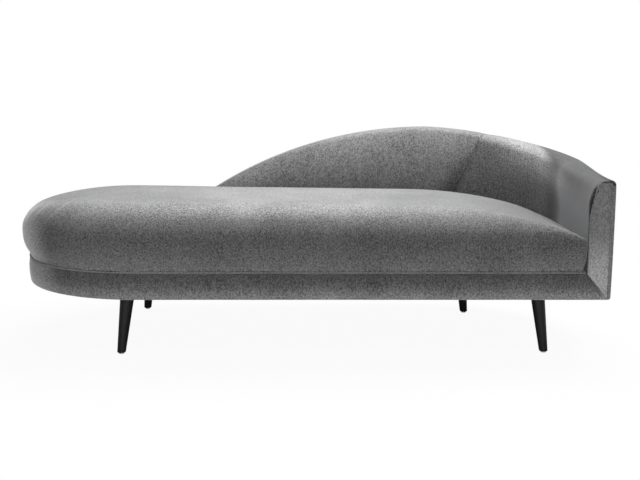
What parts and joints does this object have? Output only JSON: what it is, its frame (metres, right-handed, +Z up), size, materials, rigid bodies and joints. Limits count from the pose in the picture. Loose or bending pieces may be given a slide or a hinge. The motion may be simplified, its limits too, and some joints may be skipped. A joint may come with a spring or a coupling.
{
  "type": "chaise longue",
  "caption": "Upholstered chaise longue with a rounded foot end, a loose bench cushion, a back that falls in one long curve from a corner arm, and splayed tapered legs.",
  "frame": {"origin": "on the floor, under the middle of the overall box", "axes": "+X along the seat from the rounded foot to the arm, +Y to the back, +Z up"},
  "size_m": [1.8501, 0.8583, 0.67],
  "materials": {
    "seat_fabric": "mid-grey chenille with a fine heather and a soft nap",
    "welt_fabric": "self-covered cord in the seat fabric",
    "dust_cloth": "black non-woven cloth",
    "deck_cloth": "plain grey deck cloth",
    "felt": "needled felt",
    "fibre": "white polyester fibre",
    "zip_tape": "grey coil zip",
    "glide_plastic": "off-white plastic",
    "leg_finish": "turned hardwood with a satin black finish",
    "plated_steel": "plated steel",
    "plywood": "raw plywood",
    "foam": "cut polyurethane foam",
    "frame_timber": "planed hardwood"
  },
  "bodies": {
    "frame": {"arm_facing_cover": "seat_fabric", "arm_facing_pad": "foam", "arm_facing_welt": "welt_fabric", "arm_post_front": "frame_timber", "arm_post_middle": "frame_timber", "arm_side_rail": "frame_timber", "back_foam": "foam", "back_post_low": "frame_timber", "back_post_second": "frame_timber", "back_post_tall": "frame_timber", "back_post_third": "frame_timber", "back_sill": "frame_timber", "back_top_rail": "plywood", "band_cover": "seat_fabric", "band_foam": "foam", "corner_bow_rail": "plywood", "corner_foam": "foam", "corner_post_rear": "frame_timber", "corner_post_side": "frame_timber", "deck_cloth": "deck_cloth", "deck_pad": "foam", "dust_cover": "dust_cloth", "foot_bow_rail": "plywood", "front_left_glide": "glide_plastic", "front_left_leg": "leg_finish", "front_left_leg_block": "frame_timber", "front_rail": "frame_timber", "front_right_glide": "glide_plastic", "front_right_leg": "leg_finish", "front_right_leg_block": "frame_timber", "inner_back_board": "plywood", "inner_back_cover": "seat_fabric", "inner_corner_cover": "seat_fabric", "left_stretcher": "frame_timber", "leg_hanger_bolts": "plated_steel", "leg_plate_screws": "plated_steel", "leg_plates": "plated_steel", "middle_stretcher": "frame_timber", "outer_back_board": "plywood", "outer_back_cover": "seat_fabric", "outer_back_pad": "foam", "rear_left_glide": "glide_plastic", "rear_left_leg": "leg_finish", "rear_left_leg_block": "frame_timber", "rear_rail": "frame_timber", "rear_right_glide": "glide_plastic", "rear_right_leg": "leg_finish", "rear_right_leg_block": "frame_timber", "right_stretcher": "frame_timber", "sinuous_springs": "plated_steel", "spring_clips": "plated_steel", "spring_insulator_felt": "felt", "spring_ledge": "plywood", "spring_tie_wires": "plated_steel", "top_roll_pad": "foam"},
    "cushion": {"cushion_cover": "seat_fabric", "cushion_fibre_wrap": "fibre", "cushion_foam_core": "foam", "cushion_welt": "welt_fabric", "cushion_zip": "zip_tape"}
  },
  "joints": [
    {"name": "cushion_lift", "type": "slide", "parent": "frame", "child": "cushion", "axis": [0, 0, 1], "range_m": [0, 0.42]}
  ]
}
